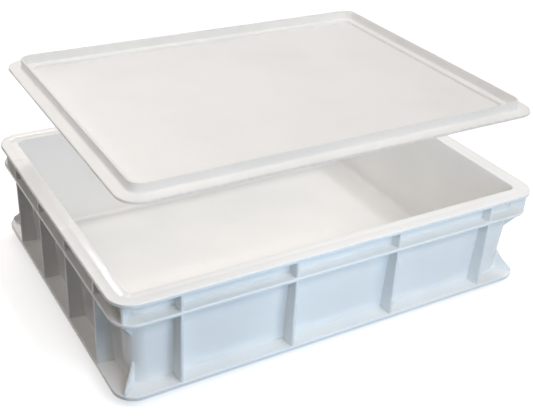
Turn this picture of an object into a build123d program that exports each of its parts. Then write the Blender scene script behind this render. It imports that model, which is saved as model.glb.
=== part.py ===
from build123d import *
import math
import os

# Dough proofing container: a ribbed tub and the loose lid that closes it.
# Millimetres, +Z up, origin at the centre of the tub's underside.
# X runs along the long sides, and the lid is drawn lifted off its seat.

# Footprint and height of the tub
length = 400.0
width = 300.0
height = 100.0

# Top rim, the flat flange round the opening
rim_corner = 20.0
rim_thickness = 3.0
rim_round = 0.6

# Opening, walls and floor
opening_inset = 15.0
opening_corner = 7.0
opening_round = 1.2
wall_thickness = 3.8
wall_corner = 14.0
wall_draft = 3.0
floor_thickness = 3.0
floor_round = 5.0
base_bevel = 2.0

# Shelf and foot, the two flanges below the rim
flange_inset = 1.5
shelf_thickness = 3.0
shelf_drop = 19.0
foot_thickness = 4.0
foot_lift = 10.0
flange_round = 0.8
edge_break = 0.5

# Upright ribs on the four sides
corner_bay = 52.0
bays_per_side = 3
rib_inset = 2.0
rib_root = 3.2
rib_tip = 2.6
rib_break = 0.7

# Webs that stand on the diagonal of each corner
web_thickness = 1.8
web_reach = 18.0
hood_nose = 0.6
hood_depth = 22.0
knee_nose = 1.9
knee_height = 24.0
knee_waist_reach = 9.5
knee_waist_height = 9.7
knee_round = 4.0

# Lid: brim, stacking ring, ledge and sunk panel
lid_thickness = 2.5
lid_edge_round = 0.8
ring_inset = 11.0
ring_corner = 12.0
ring_thickness = 2.5
ring_rise = 8.5
ring_round = 0.8
ring_foot_round = 1.5
plug_clearance = 3.0
plug_corner = 8.0
plug_wall = 3.0
panel_drop = 2.5
panel_break = 0.8

# Place of the lifted lid, measured from its seat on the rim
lid_shift_x = 24.0
lid_shift_y = 40.0
lid_lift = 54.0

# One overrun serves every cut, and every piece that is sunk in its neighbour
overrun = 1.0

shelf_top = height - shelf_drop
shelf_underside = shelf_top - shelf_thickness
foot_top = foot_lift + foot_thickness
draft_slope = math.tan(math.radians(wall_draft))
wall_run = wall_thickness / math.cos(math.radians(wall_draft))


def inner_inset(z):
    """Distance from the footprint's edge to the wall's inner face at height z."""
    return opening_inset + (height - z) * draft_slope


def outer_inset(z):
    """Distance from the footprint's edge to the wall's outer face at height z."""
    return inner_inset(z) - wall_run


def outline(inset, corner, z):
    """Rounded rectangle, inset from the footprint, lying at height z."""
    return Plane.XY.offset(z) * RectangleRounded(length - 2 * inset, width - 2 * inset, corner)


def slab(inset, corner, z, thickness):
    """Flat rounded plate whose underside is at height z."""
    return extrude(outline(inset, corner, z), thickness)


def lowest_edges(solid):
    """Edges round the bottom face of a solid."""
    return solid.faces().sort_by(Axis.Z)[0].edges()


def highest_edges(solid):
    """Edges round the top face of a solid."""
    return solid.faces().sort_by(Axis.Z)[-1].edges()


def drafted_block(inset_at, corner, z_low, z_high):
    """Block between two heights that narrows downwards, with rounded upright corners."""
    inset = inset_at(z_high)
    top = Plane.XY.offset(z_high)
    block = extrude(top * Rectangle(length - 2 * inset, width - 2 * inset), z_low - z_high)
    block = draft(block.faces().sort_by(Axis.Z)[1:-1], top, -wall_draft)
    return fillet(block.edges() - lowest_edges(block) - highest_edges(block), corner)


def wall_block():
    """Outer form of the drafted walls, closed and filled, with a lead-in bevel round the base."""
    block = drafted_block(outer_inset, wall_corner, 0, height - rim_thickness / 2)
    return chamfer(lowest_edges(block), base_bevel)


def cavity():
    """The tub's inside, with a rounded floor edge, open past the rim."""
    hollow = drafted_block(inner_inset, opening_corner, floor_thickness, height + overrun)
    return fillet(lowest_edges(hollow), floor_round)


def rim():
    """Flat top flange with a softened outer edge."""
    plate = slab(0, rim_corner, height - rim_thickness, rim_thickness)
    return fillet(highest_edges(plate), rim_round)


def flange(z, thickness):
    """Thin flange round the walls, rounded along its upper edge and broken along its lower one."""
    plate = slab(flange_inset, rim_corner - flange_inset, z, thickness)
    plate = fillet(highest_edges(plate), flange_round)
    return chamfer(lowest_edges(plate), edge_break)


def rib(reach):
    """Upright rib that tapers to a bevelled tip, reaching out along +Y from the origin."""
    root = reach - inner_inset(0)
    tip = reach - rib_inset
    corners = [(-rib_root / 2, root), (rib_root / 2, root), (rib_tip / 2, tip), (-rib_tip / 2, tip)]
    profile = make_face(Polyline(*corners, close=True))
    profile = chamfer(profile.vertices().group_by(Axis.Y)[-1], rib_break)
    z_low = foot_top - foot_thickness / 2
    return extrude(Plane.XY.offset(z_low) * profile, height - rim_thickness / 2 - z_low)


def rib_places(span):
    """Places of the ribs along a side of the given span, a corner bay in from each end."""
    first = corner_bay - span / 2
    pitch = (span - 2 * corner_bay) / bays_per_side
    return [first + pitch * index for index in range(bays_per_side + 1)]


def ribs():
    """All upright ribs, the same pattern on facing sides."""
    long_side = [Pos(x, 0, 0) * rib(width / 2) for x in rib_places(length)]
    short_side = [Pos(0, y, 0) * Rot(0, 0, -90) * rib(length / 2) for y in rib_places(width)]
    return [Rot(0, 0, turn) * piece for turn in (0, 180) for piece in long_side + short_side]


def web_profiles():
    """Faces of one corner's webs, drawn as reach from the rim's corner centre against height."""
    heel = -rim_corner / 2
    band = Polyline((heel, shelf_top - shelf_thickness / 2), (web_reach, shelf_top - shelf_thickness / 2),
                    (web_reach, height - rim_thickness / 2), (heel, height - rim_thickness / 2), close=True)
    hood = Polyline((heel, shelf_underside + shelf_thickness / 2), (web_reach, shelf_underside + shelf_thickness / 2),
                    (web_reach, shelf_underside - hood_nose), (0, shelf_underside - hood_depth),
                    (heel, shelf_underside - hood_depth), close=True)
    nose_top = (web_reach, foot_top + knee_nose)
    knee_top = (0, foot_top + knee_height)
    knee = [Polyline(knee_top, (heel, foot_top + knee_height), (heel, foot_top - foot_thickness / 2),
                     (web_reach, foot_top - foot_thickness / 2), nose_top),
            ThreePointArc(nose_top, (knee_waist_reach, foot_top + knee_waist_height), knee_top)]
    knee = make_face(knee)
    nose = knee.vertices().group_by(Axis.X)[-1].sort_by(Axis.Y)[-1]
    return [make_face(band), make_face(hood), fillet(nose, knee_round)]


def corner_webs():
    """Webs on the diagonals: one in the band, a hood under the shelf and a knee on the foot."""
    pieces = []
    for side_x, side_y in ((1, 1), (-1, 1), (-1, -1), (1, -1)):
        centre = (side_x * (length / 2 - rim_corner), side_y * (width / 2 - rim_corner), 0)
        upright = Plane(origin=centre, x_dir=(side_x, side_y, 0), z_dir=(side_y, -side_x, 0))
        for face in web_profiles():
            pieces.append(extrude(upright * face, web_thickness / 2, both=True))
    return pieces


def tub():
    """The moulded tub: walls and flanges, ribs and webs outside, hollow inside."""
    body = wall_block() + [rim(), flange(shelf_underside, shelf_thickness), flange(foot_lift, foot_thickness)]
    body = body + ribs() + corner_webs()
    body = body - cavity()
    mouth = body.faces().filter_by(Plane.XY).sort_by(Axis.Z)[-1].inner_wires()[0].edges()
    return fillet(mouth, opening_round)


def stacking_ring():
    """Low wall on the brim that holds the foot of the next tub."""
    rise_from = lid_thickness - overrun
    rise = ring_rise + overrun
    band = slab(ring_inset, ring_corner, rise_from, rise)
    band = band - slab(ring_inset + ring_thickness, ring_corner - ring_thickness, rise_from, rise)
    return fillet(highest_edges(band), ring_round)


def brim_faces(body):
    """The lid's two faces at the brim's level: outside the ring, and the ledge inside it."""
    level = body.faces().filter_by(Plane.XY).group_by(Axis.Z)[-2]
    ledge, around = level.sort_by(lambda face: face.bounding_box().size.X)
    return around, ledge


def lid():
    """The moulded lid, with the underside of its brim at height zero."""
    brim = slab(0, rim_corner, 0, lid_thickness)
    brim = fillet(highest_edges(brim), lid_edge_round)
    brim = chamfer(lowest_edges(brim), edge_break)
    plug_inset = opening_inset + plug_clearance
    plug = slab(plug_inset, plug_corner, -panel_drop, panel_drop + lid_thickness / 2)
    body = brim + chamfer(lowest_edges(plug), panel_break) + stacking_ring()
    recess = slab(plug_inset + plug_wall, plug_corner - plug_wall, lid_thickness - panel_drop, panel_drop + overrun)
    body = body - chamfer(lowest_edges(recess), panel_break)
    around, ledge = brim_faces(body)
    body = fillet(around.inner_wires()[0].edges(), ring_foot_round)
    ledge = brim_faces(body)[1]
    return chamfer(ledge.outer_wire().edges() + ledge.inner_wires()[0].edges(), edge_break)


def write(name, shape):
    """Write one piece to its own file."""
    solid = shape.solids()[0]
    solid.label = name
    export_step(solid, os.path.join("parts", name + ".step"))
    print(name, "solids", len(shape.solids()), "volume", round(solid.volume))


os.makedirs("parts", exist_ok=True)
write("tub", tub())
write("lid", Pos(lid_shift_x, lid_shift_y, height + lid_lift) * lid())
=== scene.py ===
"""Finish, studio and camera for a stacking dough container: a ribbed tub, its lid lifted off."""

import math

import bpy
import numpy as np
from mathutils import Matrix, Vector


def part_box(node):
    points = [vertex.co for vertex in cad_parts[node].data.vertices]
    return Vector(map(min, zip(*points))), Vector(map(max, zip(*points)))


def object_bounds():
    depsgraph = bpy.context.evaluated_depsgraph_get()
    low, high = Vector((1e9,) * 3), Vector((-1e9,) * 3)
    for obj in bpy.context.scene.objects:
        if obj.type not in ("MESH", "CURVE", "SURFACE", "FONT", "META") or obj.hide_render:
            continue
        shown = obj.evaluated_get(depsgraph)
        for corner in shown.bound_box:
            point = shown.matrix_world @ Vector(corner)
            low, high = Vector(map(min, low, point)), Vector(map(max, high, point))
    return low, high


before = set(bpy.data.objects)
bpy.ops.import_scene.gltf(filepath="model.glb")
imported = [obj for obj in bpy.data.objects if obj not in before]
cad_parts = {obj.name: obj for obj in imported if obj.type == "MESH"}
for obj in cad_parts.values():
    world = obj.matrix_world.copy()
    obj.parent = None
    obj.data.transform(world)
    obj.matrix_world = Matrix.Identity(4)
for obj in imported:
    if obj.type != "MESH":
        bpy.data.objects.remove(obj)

bl_info = {
    "name": "Dough container finish",
    "version": (1, 0, 0),
    "blender": (4, 5, 0),
    "location": "3D View > Sidebar > Dough container",
    "description": "Dresses a moulded dough container and sets up its studio",
    "category": "Object",
}

CAD_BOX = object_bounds()
TUB_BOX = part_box("tub")
LID_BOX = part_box("lid")

# Corner radius of rim and brim and distance of the first rib from the corner, both in metres,
# and the number of bays between the ribs on a side
RIM_CORNER = 0.02
RIB_START = 0.052
BAYS = 3

# Depths below a top face between which the painted shade on it fades in, in metres
TOP_FADE = (0.0006, 0.0003)

# Sink marks, in metres: distances from the tub's edge between which those over the ribs fade in,
# how far past the last rib they may reach, how soon those over the webs fade in, and the distance
# of the lid's groove from its edge
RIB_MARK_FADE = (0.014, 0.01)
RIB_MARK_MARGIN = 0.01
WEB_MARK_FADE = 0.003
BRIM_SINK_INSET = 0.006

# Shares of the full sink depth: the short marks on the rim and the lid's groove
SHORT_MARK_SHARE = 0.6
BRIM_SINK_SHARE = 0.15

# Patches of the plastic: noise levels between which they set in, and how much they change
CLOUD_LEVELS = (0.35, 0.7)
RUBBED_LEVELS = (0.35, 0.6)
EDGE_TINT = 0.5
EDGE_ROUGHNESS = 0.2
PATCHY_ROUGHNESS = 0.08

# Floor: grey that is seen, grey that other light bounces off, and the light it gives off
FLOOR_SEEN = 0.8
FLOOR_BOUNCE = 0.2
FLOOR_LIFT = 0.6

# The glint's width in degrees, the camera's sensor in millimetres and its nearest and farthest
# sight in metres
GLINT_WIDTH = 2.0
SENSOR_WIDTH = 36.0
CAMERA_CLIP = (0.01, 100.0)

# A height in metres that nothing here reaches
TALLER_THAN_ALL = 10.0

WHITE = (1.0, 1.0, 1.0, 1.0)
WHITE_LIGHT = WHITE[:3]
BLUISH_LIGHT = (0.9, 0.95, 1.0)


class Socket:
    """A value or a node's output, so that shader maths reads as an expression."""

    def __init__(self, tree, out):
        self.tree = tree
        self.out = out

    def maths(self, operation, *others):
        """A Math node's operation on this value and the others."""
        inputs = {0: self, **dict(enumerate(others, 1))}
        return self.tree.add("ShaderNodeMath", {"operation": operation}, inputs)

    def __add__(self, other):
        return self.maths("ADD", other)

    def __sub__(self, other):
        return self.maths("SUBTRACT", other)

    def __rsub__(self, other):
        return self.tree.add("ShaderNodeMath", {"operation": "SUBTRACT"}, {0: other, 1: self})

    def __mul__(self, other):
        return self.maths("MULTIPLY", other)

    __radd__ = __add__
    __rmul__ = __mul__

    def absolute(self):
        """The value without its sign."""
        return self.maths("ABSOLUTE")

    def dip(self, width):
        """1 where the value is 0, falling away to both sides as a bell curve of that width."""
        scaled = self * (1 / width)
        return (-1 * scaled * scaled).maths("EXPONENT")

    def nearest(self, pitch, start):
        """Distance to the nearest of a row of places, a pitch apart, one of which is start."""
        return (self - start).maths("WRAP", pitch / 2, -pitch / 2)

    def step(self, low, high):
        """0 below low, 1 above high and a smooth rise between them."""
        settings = {"interpolation_type": "SMOOTHSTEP"}
        inputs = {"Value": self, "From Min": low, "From Max": high}
        return self.tree.add("ShaderNodeMapRange", settings, inputs)


class Tree:
    """A material's or the world's nodes, made one at a time by add."""

    def __init__(self, owner):
        owner.use_nodes = True
        self.nodes = owner.node_tree.nodes
        self.links = owner.node_tree.links
        self.nodes.clear()

    def add(self, kind, settings=None, inputs=None, output=0):
        """A node of that type, its settings made first and then its sockets' values or links."""
        node = self.nodes.new(kind)
        for name, value in (settings or {}).items():
            setattr(node, name, value)
        for name, value in (inputs or {}).items():
            if isinstance(value, Socket):
                self.links.new(value.out, node.inputs[name])
            else:
                node.inputs[name].default_value = value
        return Socket(self, node.outputs[output]) if len(node.outputs) else node

    def place(self, factor=1.0):
        """Object coordinates in metres, times a factor."""
        where = self.add("ShaderNodeTexCoord", output="Object")
        inputs = {0: where, "Scale": factor}
        return self.add("ShaderNodeVectorMath", {"operation": "SCALE"}, inputs)

    def axis(self, name):
        """One object coordinate, in metres."""
        return self.add("ShaderNodeSeparateXYZ", inputs={0: self.place()}, output="XYZ".index(name))

    def inset(self, centre, half, corner):
        """Distance in from a rounded rectangle's edge, as far as its corner radius: the radius
        less the length of the part of the offset from the centre that lies beyond the corners'
        own centres."""
        where = self.vector("ABSOLUTE", self.vector("SUBTRACT", self.place(), (*centre, 0.0)))
        corners = (half[0] - corner, half[1] - corner, TALLER_THAN_ALL)
        beyond = self.vector("SUBTRACT", where, corners)
        outside = self.vector("MAXIMUM", beyond, (0.0, 0.0, 0.0))
        length = {"operation": "LENGTH"}
        return corner - self.add("ShaderNodeVectorMath", length, {0: outside}, output="Value")

    def vector(self, operation, first, second=(0.0, 0.0, 0.0)):
        """A Vector Math node's operation on two vectors."""
        return self.add("ShaderNodeVectorMath", {"operation": operation}, {0: first, 1: second})

    def noise(self, size, detail=2.0, roughness=0.5):
        """Soft noise whose lumps are about the given size in metres."""
        inputs = {"Vector": self.place(1 / size), "Scale": 1.0, "Detail": detail}
        return self.add("ShaderNodeTexNoise", {}, {**inputs, "Roughness": roughness})

    def seen_rays(self):
        """1 for what is seen straight on, in a reflection or through glass, 0 for other light."""
        kinds = ("Is Camera Ray", "Is Glossy Ray", "Is Transmission Ray")
        rays = [self.add("ShaderNodeLightPath", output=kind) for kind in kinds]
        return rays[0].maths("MAXIMUM", rays[1]).maths("MAXIMUM", rays[2])

    def blend(self, factor, first, second):
        """A colour that goes from the first to the second as the factor goes from 0 to 1."""
        inputs = {"Factor": factor, 6: first, 7: second}
        return self.add("ShaderNodeMix", {"data_type": "RGBA"}, inputs, output=2)


def colour(red, green, blue):
    """A colour with full alpha."""
    return (red, green, blue, 1.0)


class PlasticSettings(bpy.types.PropertyGroup):
    """Finish of the white plastic."""

    tint: bpy.props.FloatVectorProperty(
        name="Tint", description="Colour of the clean plastic", subtype="COLOR", size=3,
        default=(0.86, 0.855, 0.84)
    )
    shade: bpy.props.FloatVectorProperty(
        name="Shade", description="Colour of its slightly thinner, cloudy patches",
        subtype="COLOR", size=3, default=(0.82, 0.82, 0.81)
    )
    cloud: bpy.props.FloatProperty(
        name="Cloud", description="Size of the cloudy patches", unit="LENGTH", default=0.09
    )
    glow: bpy.props.FloatProperty(
        name="Glow", description="How far light spreads inside the plastic", unit="LENGTH",
        default=0.004
    )
    gloss: bpy.props.FloatProperty(
        name="Tub roughness", description="Roughness of the tub's polished faces",
        subtype="FACTOR", default=0.12
    )
    lid_gloss: bpy.props.FloatProperty(
        name="Lid roughness", description="Roughness of the lid's faces", subtype="FACTOR",
        default=0.27
    )
    worn_edge: bpy.props.FloatProperty(
        name="Worn edge", description="Width of the rubbed band along the outer edges",
        unit="LENGTH", default=0.002
    )
    # Scuff colour: real wear on the outer edges, and painted shade where it darkens the top faces
    wear_and_shade_colour: bpy.props.FloatVectorProperty(
        name="Scuff", description="Colour of the plastic where it is rubbed", subtype="COLOR",
        size=3, default=(0.74, 0.735, 0.72)
    )
    # Painted shade: how far the top faces are darkened towards the scuff colour
    painted_top_shade: bpy.props.FloatProperty(
        name="Contact",
        description="How far the top faces, on which others stand, take on the scuff",
        subtype="FACTOR", default=0.4
    )
    grain: bpy.props.FloatProperty(
        name="Grain", description="Width of the finest waves in the moulded skin", unit="LENGTH",
        default=0.0022
    )
    grain_depth: bpy.props.FloatProperty(
        name="Grain depth", description="Height of those waves", unit="LENGTH", default=0.00002
    )
    ripple: bpy.props.FloatProperty(
        name="Ripple", description="Width of the slow waves left by cooling", unit="LENGTH",
        default=0.035
    )
    ripple_depth: bpy.props.FloatProperty(
        name="Ripple depth", description="Height of those waves", unit="LENGTH", default=0.00012
    )
    sink_inset: bpy.props.FloatProperty(
        name="Sink inset", description="Distance of the rim's groove from its edge", unit="LENGTH",
        default=0.0085
    )
    sink_width: bpy.props.FloatProperty(
        name="Sink width", description="Half width of the sink marks over walls, ribs and webs",
        unit="LENGTH", default=0.0022
    )
    sink_depth: bpy.props.FloatProperty(
        name="Sink depth", description="Depth of the sink marks", unit="LENGTH", default=0.0002
    )


class StudioSettings(bpy.types.PropertyGroup):
    """Floor, lamps and camera."""

    camera_place: bpy.props.FloatVectorProperty(
        name="Camera", description="Place of the camera", subtype="XYZ", unit="LENGTH", size=3,
        default=(-0.3748, -0.62935, 0.47968)
    )
    heading: bpy.props.FloatProperty(
        name="Heading", description="Turn of the view from +Y towards +X", subtype="ANGLE",
        default=math.radians(31.35)
    )
    dip: bpy.props.FloatProperty(
        name="Dip", description="How far the view looks down", subtype="ANGLE",
        default=math.radians(30.26)
    )
    roll: bpy.props.FloatProperty(
        name="Roll", description="Turn of the camera about its view", subtype="ANGLE",
        default=math.radians(3.16)
    )
    lens: bpy.props.FloatProperty(
        name="Lens", description="Focal length in millimetres on a 36 mm sensor", unit="CAMERA",
        default=61.13
    )
    warm: bpy.props.FloatVectorProperty(
        name="Warm", description="Colour of the back and left lights", subtype="COLOR", size=3,
        default=(1.0, 0.92, 0.87)
    )
    cool: bpy.props.FloatVectorProperty(
        name="Cool", description="Colour of the low front softbox", subtype="COLOR", size=3,
        default=(0.27, 0.6, 0.95)
    )
    key: bpy.props.FloatProperty(
        name="Key", description="Strength of the narrow light, high on the right", default=0.48
    )
    back: bpy.props.FloatProperty(
        name="Back", description="Strength of the wide light, high at the back", default=0.77
    )
    left: bpy.props.FloatProperty(
        name="Left", description="Strength of the wide light above the left end", default=0.57
    )
    right: bpy.props.FloatProperty(
        name="Right", description="Strength of the wide, low light on the right", default=0.4
    )
    lid_front: bpy.props.FloatProperty(
        name="Lid front", description="Strength of the low front light on the lid alone",
        default=1.25
    )
    lid_left: bpy.props.FloatProperty(
        name="Lid left", description="Strength of the left light on the lid alone", default=0.45
    )
    lid_high: bpy.props.FloatProperty(
        name="Lid high", description="Strength of the high front light on the lid alone",
        default=0.7
    )
    top: bpy.props.FloatProperty(
        name="Top", description="Strength of the wide light overhead, not on the lid", default=0.3
    )
    low_box: bpy.props.FloatProperty(
        name="Low softbox", description="Power of the softbox low in front", unit="POWER",
        default=0.62
    )
    high_box: bpy.props.FloatProperty(
        name="High softbox", description="Power of the softbox high in front", unit="POWER",
        default=2.9
    )
    rim_glint: bpy.props.FloatProperty(
        name="Rim glint", description="Strength of the small light seen in the tub's gloss",
        default=0.08
    )
    ambient: bpy.props.FloatProperty(
        name="Ambient", description="Strength of the light all round", default=0.02
    )
    floor_width: bpy.props.FloatProperty(
        name="Floor", description="Width of the floor", unit="LENGTH", default=12.0
    )


def footprint(box):
    """Centre and half size of a box, seen from above."""
    low, high = box
    centre = ((low.x + high.x) / 2, (low.y + high.y) / 2)
    half = ((high.x - low.x) / 2, (high.y - low.y) / 2)
    return centre, half


def top_face(tree, box):
    """1 on the top face of a box and 0 below it."""
    return tree.axis("Z").step(box[1].z - TOP_FADE[0], box[1].z - TOP_FADE[1])


def rib_marks(tree, settings, half):
    """Short marks, 0 to 1, that cross the rim above each rib, short of opening and corners."""
    marks = 0
    for along, across, span, reach in (("X", "Y", *half), ("Y", "X", *half[::-1])):
        place = tree.axis(along)
        pitch = 2 * (span - RIB_START) / BAYS
        mark = place.nearest(pitch, RIB_START - span).dip(settings.sink_width)
        out = tree.axis(across).absolute().step(reach - RIB_MARK_FADE[0], reach - RIB_MARK_FADE[1])
        last = span - RIB_START + RIB_MARK_MARGIN
        marks = marks + mark * out * (1 - place.absolute().step(last, span - RIM_CORNER))
    return marks


def rim_sinks(tree, settings, inset):
    """Depth of the rim's sink marks, 0 to 1: a groove over the wall, short ones over ribs, webs."""
    half = footprint(TUB_BOX)[1]
    groove = (inset - settings.sink_inset).dip(settings.sink_width)
    beyond = [tree.axis(name).absolute() - (size - RIM_CORNER) for name, size in zip("XY", half)]
    web = (beyond[0] - beyond[1]).dip(settings.sink_width) * beyond[0].step(0.0, WEB_MARK_FADE)
    top = top_face(tree, TUB_BOX)
    return (groove + SHORT_MARK_SHARE * (web + rib_marks(tree, settings, half))) * top


def brim_sinks(tree, settings, inset):
    """Depth of the lid's sink mark, 0 to 1: one shallow groove along the brim."""
    return BRIM_SINK_SHARE * (inset - BRIM_SINK_INSET).dip(settings.sink_width)


def plastic(name, settings, gloss, box, sinks):
    """White moulded plastic: cloudy tint, edges rubbed darker, top faces darkened as painted shade,
    edges also duller, fine grain, slow cooling waves and sink marks."""
    material = bpy.data.materials.new(name)
    tree = Tree(material)
    inset = tree.inset(*footprint(box), RIM_CORNER)
    rubbed = tree.noise(settings.cloud / 3, detail=4.0, roughness=0.6)
    edge = (1 - inset.step(0.0, settings.worn_edge)) * rubbed.step(*RUBBED_LEVELS)
    cloud = tree.noise(settings.cloud, detail=3.0).step(*CLOUD_LEVELS)
    clean = tree.blend(cloud, colour(*settings.tint), colour(*settings.shade))
    # Real wear along the outer edges plus painted shade on the top faces
    wear_and_top_shade = EDGE_TINT * edge + settings.painted_top_shade * top_face(tree, box)
    tint = tree.blend(wear_and_top_shade, clean, colour(*settings.wear_and_shade_colour))
    roughness = gloss + PATCHY_ROUGHNESS * rubbed + EDGE_ROUGHNESS * edge
    waves = settings.ripple_depth * tree.noise(settings.ripple, detail=0.0)
    height = settings.grain_depth * tree.noise(settings.grain, detail=1.0) + waves
    height = height - settings.sink_depth * sinks(tree, settings, inset)
    bump = {"Height": height, "Strength": 1.0, "Distance": 1.0}
    normal = tree.add("ShaderNodeBump", {}, bump)
    surface = tree.add("ShaderNodeBsdfPrincipled", {}, {
        "Base Color": tint,
        "Roughness": roughness,
        "Normal": normal,
        "IOR": 1.5,
        "Subsurface Weight": 0.5,
        "Subsurface Radius": (1.0, 1.0, 1.0),
        "Subsurface Scale": settings.glow,
    })
    tree.add("ShaderNodeOutputMaterial", {}, {"Surface": surface})
    return material


def dress(node, material):
    """Give a CAD node one material on all its slots."""
    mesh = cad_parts[node].data
    mesh.materials.clear()
    mesh.materials.append(material)


class DressTub(bpy.types.Operator):
    """Give the tub its moulded plastic"""

    bl_idname = "dough_container.dress_tub"
    bl_label = "Dress the tub"

    def execute(self, context):
        settings = context.scene.container_plastic
        material = plastic("tub_plastic", settings, settings.gloss, TUB_BOX, rim_sinks)
        dress("tub", material)
        return {"FINISHED"}


class DressLid(bpy.types.Operator):
    """Give the lid its moulded plastic"""

    bl_idname = "dough_container.dress_lid"
    bl_label = "Dress the lid"

    def execute(self, context):
        settings = context.scene.container_plastic
        material = plastic("lid_plastic", settings, settings.lid_gloss, LID_BOX, brim_sinks)
        dress("lid", material)
        return {"FINISHED"}


def floor_material():
    """Pale floor that shows white with the tub's shadow, and bounces little light back up."""
    material = bpy.data.materials.new("floor_paper")
    tree = Tree(material)
    paper = tree.add("ShaderNodeBsdfDiffuse", {}, {"Color": colour(*[FLOOR_SEEN] * 3)})
    lift = tree.add("ShaderNodeEmission", {}, {"Color": WHITE, "Strength": FLOOR_LIFT})
    seen = tree.add("ShaderNodeAddShader", {}, {0: paper, 1: lift})
    bounce = tree.add("ShaderNodeBsdfDiffuse", {}, {"Color": colour(*[FLOOR_BOUNCE] * 3)})
    surface = tree.add("ShaderNodeMixShader", {}, {0: tree.seen_rays(), 1: bounce, 2: seen})
    tree.add("ShaderNodeOutputMaterial", {}, {"Surface": surface})
    return material


def make_floor(settings):
    """One flat square, level with the tub's underside."""
    half = settings.floor_width / 2
    corners = np.array([(-1, -1, 0), (1, -1, 0), (1, 1, 0), (-1, 1, 0)]) * half
    mesh = bpy.data.meshes.new("floor")
    mesh.from_pydata((corners + (0, 0, CAD_BOX[0].z)).tolist(), [], [(0, 1, 2, 3)])
    mesh.materials.append(floor_material())
    floor = bpy.data.objects.new("floor", mesh)
    bpy.context.scene.collection.objects.link(floor)
    return floor


def group_of(pieces):
    """The collection of these pieces, for what a lamp shines on or what blocks it."""
    name = "_and_".join(piece.name for piece in pieces)
    if name not in bpy.data.collections:
        group = bpy.data.collections.new(name)
        for piece in pieces:
            group.objects.link(piece)
    return bpy.data.collections[name]


def make_lamp(name, kind, strength, tint, towards, place=(0.0, 0.0, 0.0), falls_on=None):
    """A lamp in the given direction, which only the tub blocks. It shines on everything, or only
    on the pieces that falls_on lists."""
    light = bpy.data.lights.new(name, kind)
    light.energy = strength
    light.color = tint
    lamp = bpy.data.objects.new(name, light)
    lamp.location = place
    lamp.rotation_euler = Vector(towards).to_track_quat("Z", "Y").to_euler()
    lamp.visible_camera = False
    lamp.light_linking.blocker_collection = group_of([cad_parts["tub"]])
    if falls_on:
        lamp.light_linking.receiver_collection = group_of(falls_on)
    bpy.context.scene.collection.objects.link(lamp)
    return lamp


def make_sun(name, towards, strength, width, tint=WHITE_LIGHT, falls_on=None):
    """A distant light that comes from the given direction, with its width in degrees."""
    lamp = make_lamp(name, "SUN", strength, tint, towards, falls_on=falls_on)
    lamp.data.angle = math.radians(width)


def make_glint(name, heading, rise, strength, falls_on):
    """A small distant light that shows only as a highlight on gloss, at a heading from +Y and
    a rise, both in degrees."""
    heading, rise = math.radians(heading), math.radians(rise)
    level = math.cos(rise)
    towards = (math.sin(heading) * level, math.cos(heading) * level, math.sin(rise))
    lamp = make_lamp(name, "SUN", strength, WHITE_LIGHT, towards, falls_on=falls_on)
    lamp.visible_diffuse = False
    lamp.data.angle = math.radians(GLINT_WIDTH)


def make_softbox(name, place, target, power, size, tint=WHITE_LIGHT, falls_on=None):
    """A soft rectangular lamp at a place, turned to a target."""
    towards = Vector(place) - Vector(target)
    light = make_lamp(name, "AREA", power, tint, towards, place, falls_on).data
    light.shape = "RECTANGLE"
    light.size, light.size_y = size


def make_world(settings):
    """White where it is seen, also in reflections and through glass, and a dim light all round."""
    world = bpy.data.worlds.new("studio")
    bpy.context.scene.world = world
    tree = Tree(world)
    dim = {"Color": WHITE, "Strength": settings.ambient}
    around = tree.add("ShaderNodeBackground", {}, dim)
    white = tree.add("ShaderNodeBackground", {}, {"Color": WHITE, "Strength": 1.0})
    surface = tree.add("ShaderNodeMixShader", {}, {0: tree.seen_rays(), 1: around, 2: white})
    tree.add("ShaderNodeOutputWorld", {}, {"Surface": surface})


def make_camera(settings):
    """Camera turned by heading, dip and roll, in that order from a level view along +Y."""
    data = bpy.data.cameras.new("camera")
    data.lens = settings.lens
    data.sensor_width = SENSOR_WIDTH
    data.clip_start, data.clip_end = CAMERA_CLIP
    camera = bpy.data.objects.new("camera", data)
    turn = Matrix.Rotation(-settings.heading, 4, "Z")
    tilt = Matrix.Rotation(math.radians(90) - settings.dip, 4, "X")
    roll = Matrix.Rotation(settings.roll, 4, "Z")
    camera.matrix_world = Matrix.Translation(settings.camera_place) @ turn @ tilt @ roll
    bpy.context.scene.collection.objects.link(camera)
    bpy.context.scene.camera = camera


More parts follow.
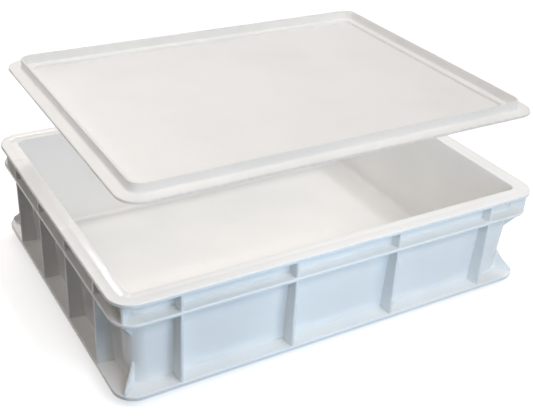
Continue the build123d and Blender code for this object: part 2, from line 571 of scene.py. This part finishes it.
class SetStage(bpy.types.Operator):
    """Make the floor, the lamps, the world and the camera"""

    bl_idname = "dough_container.set_stage"
    bl_label = "Set the stage"

    def execute(self, context):
        settings = context.scene.container_studio
        floor = make_floor(settings)
        tub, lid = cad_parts["tub"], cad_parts["lid"]
        make_sun("key_light", (0.33, 0.15, 0.93), settings.key, width=6.0)
        make_sun("back_light", (0.2, 0.7, 0.7), settings.back, width=40.0, tint=settings.warm)
        make_sun("left_light", (-0.5, 0.0, 0.85), settings.left, width=30.0, tint=settings.warm)
        make_sun("right_light", (0.97, 0.2, 0.12), settings.right, width=40.0)
        make_sun(
            "lid_front_light", (0.15, -0.98, 0.05), settings.lid_front, width=70.0,
            tint=BLUISH_LIGHT, falls_on=[lid]
        )
        make_sun(
            "lid_left_light", (-0.9, -0.25, 0.45), settings.lid_left, width=20.0, falls_on=[lid]
        )
        make_sun("lid_high_light", (0.1, -0.6, 0.8), settings.lid_high, width=60.0, falls_on=[lid])
        make_sun("top_light", (0.05, 0.1, 1.0), settings.top, width=60.0, falls_on=[tub, floor])
        make_softbox(
            "low_box", (-0.02, -0.5, 0.13), target=(0.02, -0.15, 0.06), power=settings.low_box,
            size=(0.36, 0.25), tint=settings.cool, falls_on=[tub, floor]
        )
        make_softbox(
            "high_box", (0.08, -0.6, 0.5), target=(0.08, -0.15, 0.05), power=settings.high_box,
            size=(0.6, 0.3), falls_on=[tub, floor]
        )
        make_glint("rim_glint", 15.5, 37.0, settings.rim_glint, falls_on=[tub])
        make_world(settings)
        make_camera(settings)
        context.scene.view_settings.view_transform = "Standard"
        return {"FINISHED"}


class ContainerPanel(bpy.types.Panel):
    """Sizes, colours and steps of the container"""

    bl_idname = "VIEW3D_PT_dough_container"
    bl_label = "Dough container"
    bl_space_type = "VIEW_3D"
    bl_region_type = "UI"
    bl_category = "Dough container"

    def draw(self, context):
        for group in (context.scene.container_plastic, context.scene.container_studio):
            for name in group.__annotations__:
                self.layout.prop(group, name)
        for operator in OPERATORS:
            self.layout.operator(operator.bl_idname)


GROUPS = {"container_plastic": PlasticSettings, "container_studio": StudioSettings}
OPERATORS = (DressTub, DressLid, SetStage)


def register():
    """Register the classes and hang their settings on the scene."""
    for kind in (*GROUPS.values(), *OPERATORS, ContainerPanel):
        bpy.utils.register_class(kind)
    for name, group in GROUPS.items():
        setattr(bpy.types.Scene, name, bpy.props.PointerProperty(type=group))


def unregister():
    """Take the settings off the scene and the classes out."""
    for name in GROUPS:
        delattr(bpy.types.Scene, name)
    for kind in reversed((*GROUPS.values(), *OPERATORS, ContainerPanel)):
        bpy.utils.unregister_class(kind)


def main():
    """Register the add-on and run its steps in order."""
    register()
    for operator in OPERATORS:
        group, step = operator.bl_idname.split(".")
        getattr(getattr(bpy.ops, group), step)()


if __name__ == "__main__":
    main()
